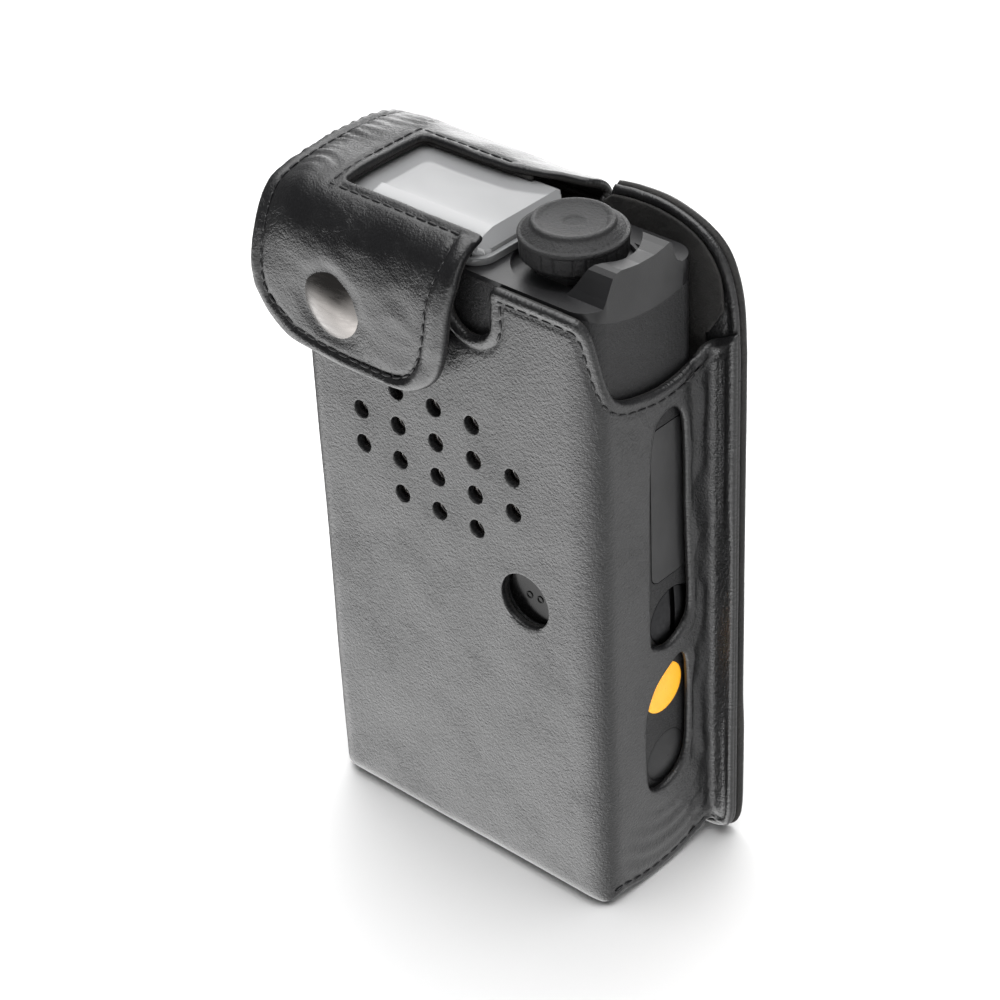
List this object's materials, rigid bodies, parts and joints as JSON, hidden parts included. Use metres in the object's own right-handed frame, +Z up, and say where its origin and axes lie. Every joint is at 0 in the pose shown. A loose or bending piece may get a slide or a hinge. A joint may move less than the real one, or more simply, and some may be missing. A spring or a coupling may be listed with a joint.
{
  "type": "belt-worn two-way radio in a leather carrying case",
  "caption": "Pocket two-way radio with top display and knob, in a black leather belt case with snap flap, punched speaker grille and side key windows.",
  "frame": {"origin": "bottom centre of the whole object, on the surface that the case stands on", "axes": "+X to the wearer-facing viewer's right as the front is seen, towards the side keys; +Y from the front face to the belt loop; +Z up to the display"},
  "size_m": [0.0712, 0.0424, 0.1206],
  "materials": {
    "case_leather": "fine-grained, softly waxed",
    "case_lining": "raw suede side",
    "snap_nickel": "satin nickel",
    "radio_body": "fine spark texture",
    "cap_plastic": "satin",
    "seal_rubber": "matt",
    "display_window": "gloss",
    "bezel_plastic": "gloss",
    "display_panel": "satin",
    "circuit_board": "solder mask",
    "tinned_steel": "tinned",
    "battery_can": "film-wrapped cell pack",
    "contact_brass": "plated",
    "grille_mesh": "woven mesh",
    "cone_film": "film",
    "gloss_black": "gloss",
    "knob_rubber": "coarse moulded texture",
    "white_plastic": "natural",
    "encoder_case": "moulded",
    "cover_plastic": "satin",
    "black_screw": "black, semi-gloss",
    "orange_key": "translucent, bright",
    "key_rubber": "satin silicone"
  },
  "bodies": {
    "case": {"case_pouch": "case_leather", "case_back_panel": "case_leather", "back_lining": "case_lining", "belt_loop": "case_leather", "snap_stud": "snap_nickel", "snap_eyelet": "snap_nickel", "front_housing": "radio_body", "rear_housing": "radio_body", "battery_cover": "radio_body", "top_cap": "cap_plastic", "top_gasket": "seal_rubber", "display_lens": "display_window", "display_bezel": "bezel_plastic", "display_panel": "display_panel", "main_board": "circuit_board", "shield_cans": "tinned_steel", "side_key_board": "circuit_board", "key_domes": "tinned_steel", "battery": "battery_can", "battery_contacts": "contact_brass", "speaker_mesh": "grille_mesh", "speaker_frame": "tinned_steel", "mic_insert": "gloss_black", "microphone": "tinned_steel", "mic_boot": "seal_rubber", "encoder_body": "encoder_case", "encoder_nut": "tinned_steel", "accessory_connector": "encoder_case", "accessory_cover": "cover_plastic", "cover_screw": "black_screw", "antenna": "contact_brass", "vibration_motor": "tinned_steel", "housing_screws": "black_screw"},
    "flap_leaf": {"flap": "case_leather", "flap_lining": "case_lining", "snap_cap": "snap_nickel", "snap_socket": "snap_nickel"},
    "knob_plunger": {"encoder_plunger": "white_plastic"},
    "knob_assembly": {"knob": "knob_rubber", "encoder_shaft": "tinned_steel"},
    "orange_key": {"orange_button": "orange_key"},
    "power_key": {"power_button": "key_rubber"},
    "speaker_cone_body": {"speaker_cone": "cone_film"},
    "motor_weight": {"vibration_weight": "tinned_steel"}
  },
  "joints": [
    {"name": "flap_hinge", "type": "hinge", "parent": "case", "child": "flap_leaf", "pos_m": [0, 0.014, 0.1157], "axis": [-1, 0, 0], "range_deg": [0, 180]},
    {"name": "knob_press", "type": "slide", "parent": "case", "child": "knob_plunger", "axis": [0, 0, -1], "range_m": [0, 0.0005], "stiffness_N_per_m": 5000, "springref_m": -0.0002},
    {"name": "knob_turn", "type": "hinge", "parent": "knob_plunger", "child": "knob_assembly", "pos_m": [0.0164, -0.0026, 0.1142], "axis": [0, 0, 1], "continuous": true},
    {"name": "orange_press", "type": "slide", "parent": "case", "child": "orange_key", "axis": [-1, 0, 0], "range_m": [0, 0.0005], "stiffness_N_per_m": 4000, "springref_m": -0.0002},
    {"name": "power_press", "type": "slide", "parent": "case", "child": "power_key", "axis": [-1, 0, 0], "range_m": [0, 0.0005], "stiffness_N_per_m": 4000, "springref_m": -0.0002},
    {"name": "cone_travel", "type": "slide", "parent": "case", "child": "speaker_cone_body", "axis": [0, 1, 0], "range_m": [-0.0002, 0.0002], "stiffness_N_per_m": 1500},
    {"name": "vibration_spin", "type": "hinge", "parent": "case", "child": "motor_weight", "pos_m": [-0.022, 0.0037, 0.084], "axis": [1, 0, 0], "continuous": true}
  ]
}
